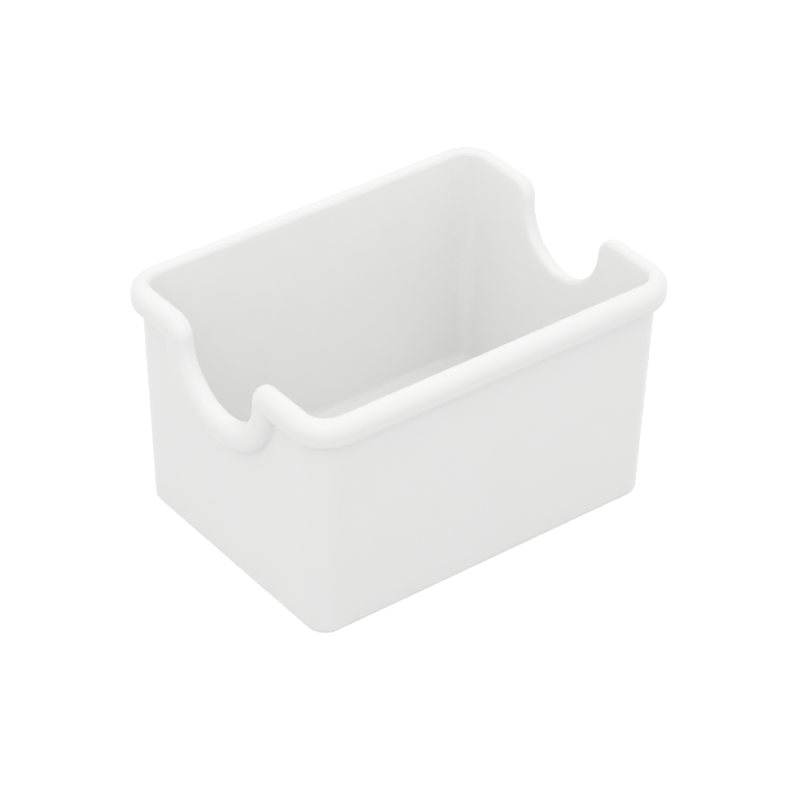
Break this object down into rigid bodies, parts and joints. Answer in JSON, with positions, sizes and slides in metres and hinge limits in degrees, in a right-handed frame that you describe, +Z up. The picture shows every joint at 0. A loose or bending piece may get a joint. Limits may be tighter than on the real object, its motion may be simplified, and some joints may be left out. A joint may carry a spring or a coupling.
{
  "type": "sugar packet holder",
  "caption": "Open rectangular tub for sugar packets, with leaning walls, a rounded rim and a finger notch in each end wall.",
  "frame": {"origin": "middle of the flat underside, on the surface that the holder stands on", "axes": "+X along the length, towards the right end wall; +Y across the width, towards the back wall; +Z up, out of the open mouth"},
  "size_m": [0.087, 0.065, 0.0508],
  "materials": {
    "moulding": "smooth moulded white plastic, soft gloss, the same inside and out"
  },
  "bodies": {
    "root": {"base": "moulding", "front_wall": "moulding", "back_wall": "moulding", "left_wall": "moulding", "right_wall": "moulding", "front_rim": "moulding", "back_rim": "moulding", "left_rim": "moulding", "right_rim": "moulding"}
  },
  "joints": []
}
